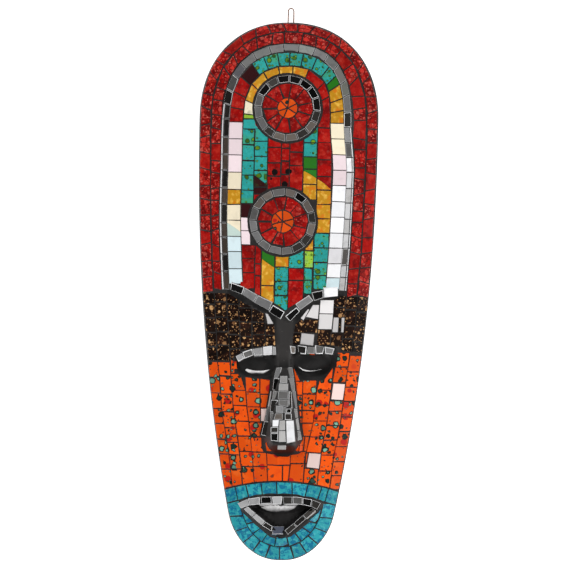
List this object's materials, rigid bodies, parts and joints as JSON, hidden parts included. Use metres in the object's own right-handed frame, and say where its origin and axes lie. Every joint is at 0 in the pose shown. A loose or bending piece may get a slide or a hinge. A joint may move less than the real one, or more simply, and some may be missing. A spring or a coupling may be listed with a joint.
{
  "type": "mosaic mask",
  "caption": "Long carved wooden mask, hollow at the back, with a mosaic of coloured glass and mirror tiles and a small wire loop at the crown.",
  "frame": {"origin": "middle of the whole part's box, wire loop included, on the plane of the back rim", "axes": "+Z out of the face, +Y towards the crown, +X to the right as one looks at the face"},
  "size_m": [0.1664, 0.514, 0.0593],
  "materials": {
    "painted_wood": "carved softwood painted glossy black, the hollow back plainer",
    "red_glass": "glossy opaque glass over a red crackle paint",
    "panel_glass": "glossy opaque glass, back-painted turquoise, red, gold, cream and green",
    "rosette_glass": "glossy opaque glass, red wedges round an orange middle",
    "brown_glass": "glossy opaque glass over brown-black paint with gold specks",
    "orange_glass": "glossy opaque glass over orange paint with teal, red and black spots",
    "turquoise_glass": "glossy opaque glass over mottled turquoise paint",
    "mirror_tiles": "small cut mirrors with bright edges",
    "copper_wire": "bare copper wire, slightly dulled"
  },
  "bodies": {
    "root": {"mask_body": "painted_wood", "border_outer_course": "red_glass", "border_inner_course": "red_glass", "arch_mirror_course": "mirror_tiles", "panel_glass_field": "panel_glass", "upper_medallion_mirror_ring": "mirror_tiles", "upper_medallion_rosette": "rosette_glass", "lower_medallion_mirror_ring": "mirror_tiles", "lower_medallion_rosette": "rosette_glass", "v_edge_mirrors": "mirror_tiles", "left_brow_field": "brown_glass", "right_brow_field": "brown_glass", "left_eyebrow_mirrors": "mirror_tiles", "right_eyebrow_mirrors": "mirror_tiles", "nose_mirrors": "mirror_tiles", "cheek_field": "orange_glass", "chin_field": "turquoise_glass", "upper_lip_mirrors": "mirror_tiles", "lower_lip_mirrors": "mirror_tiles", "hanging_wire": "copper_wire"}
  },
  "joints": []
}
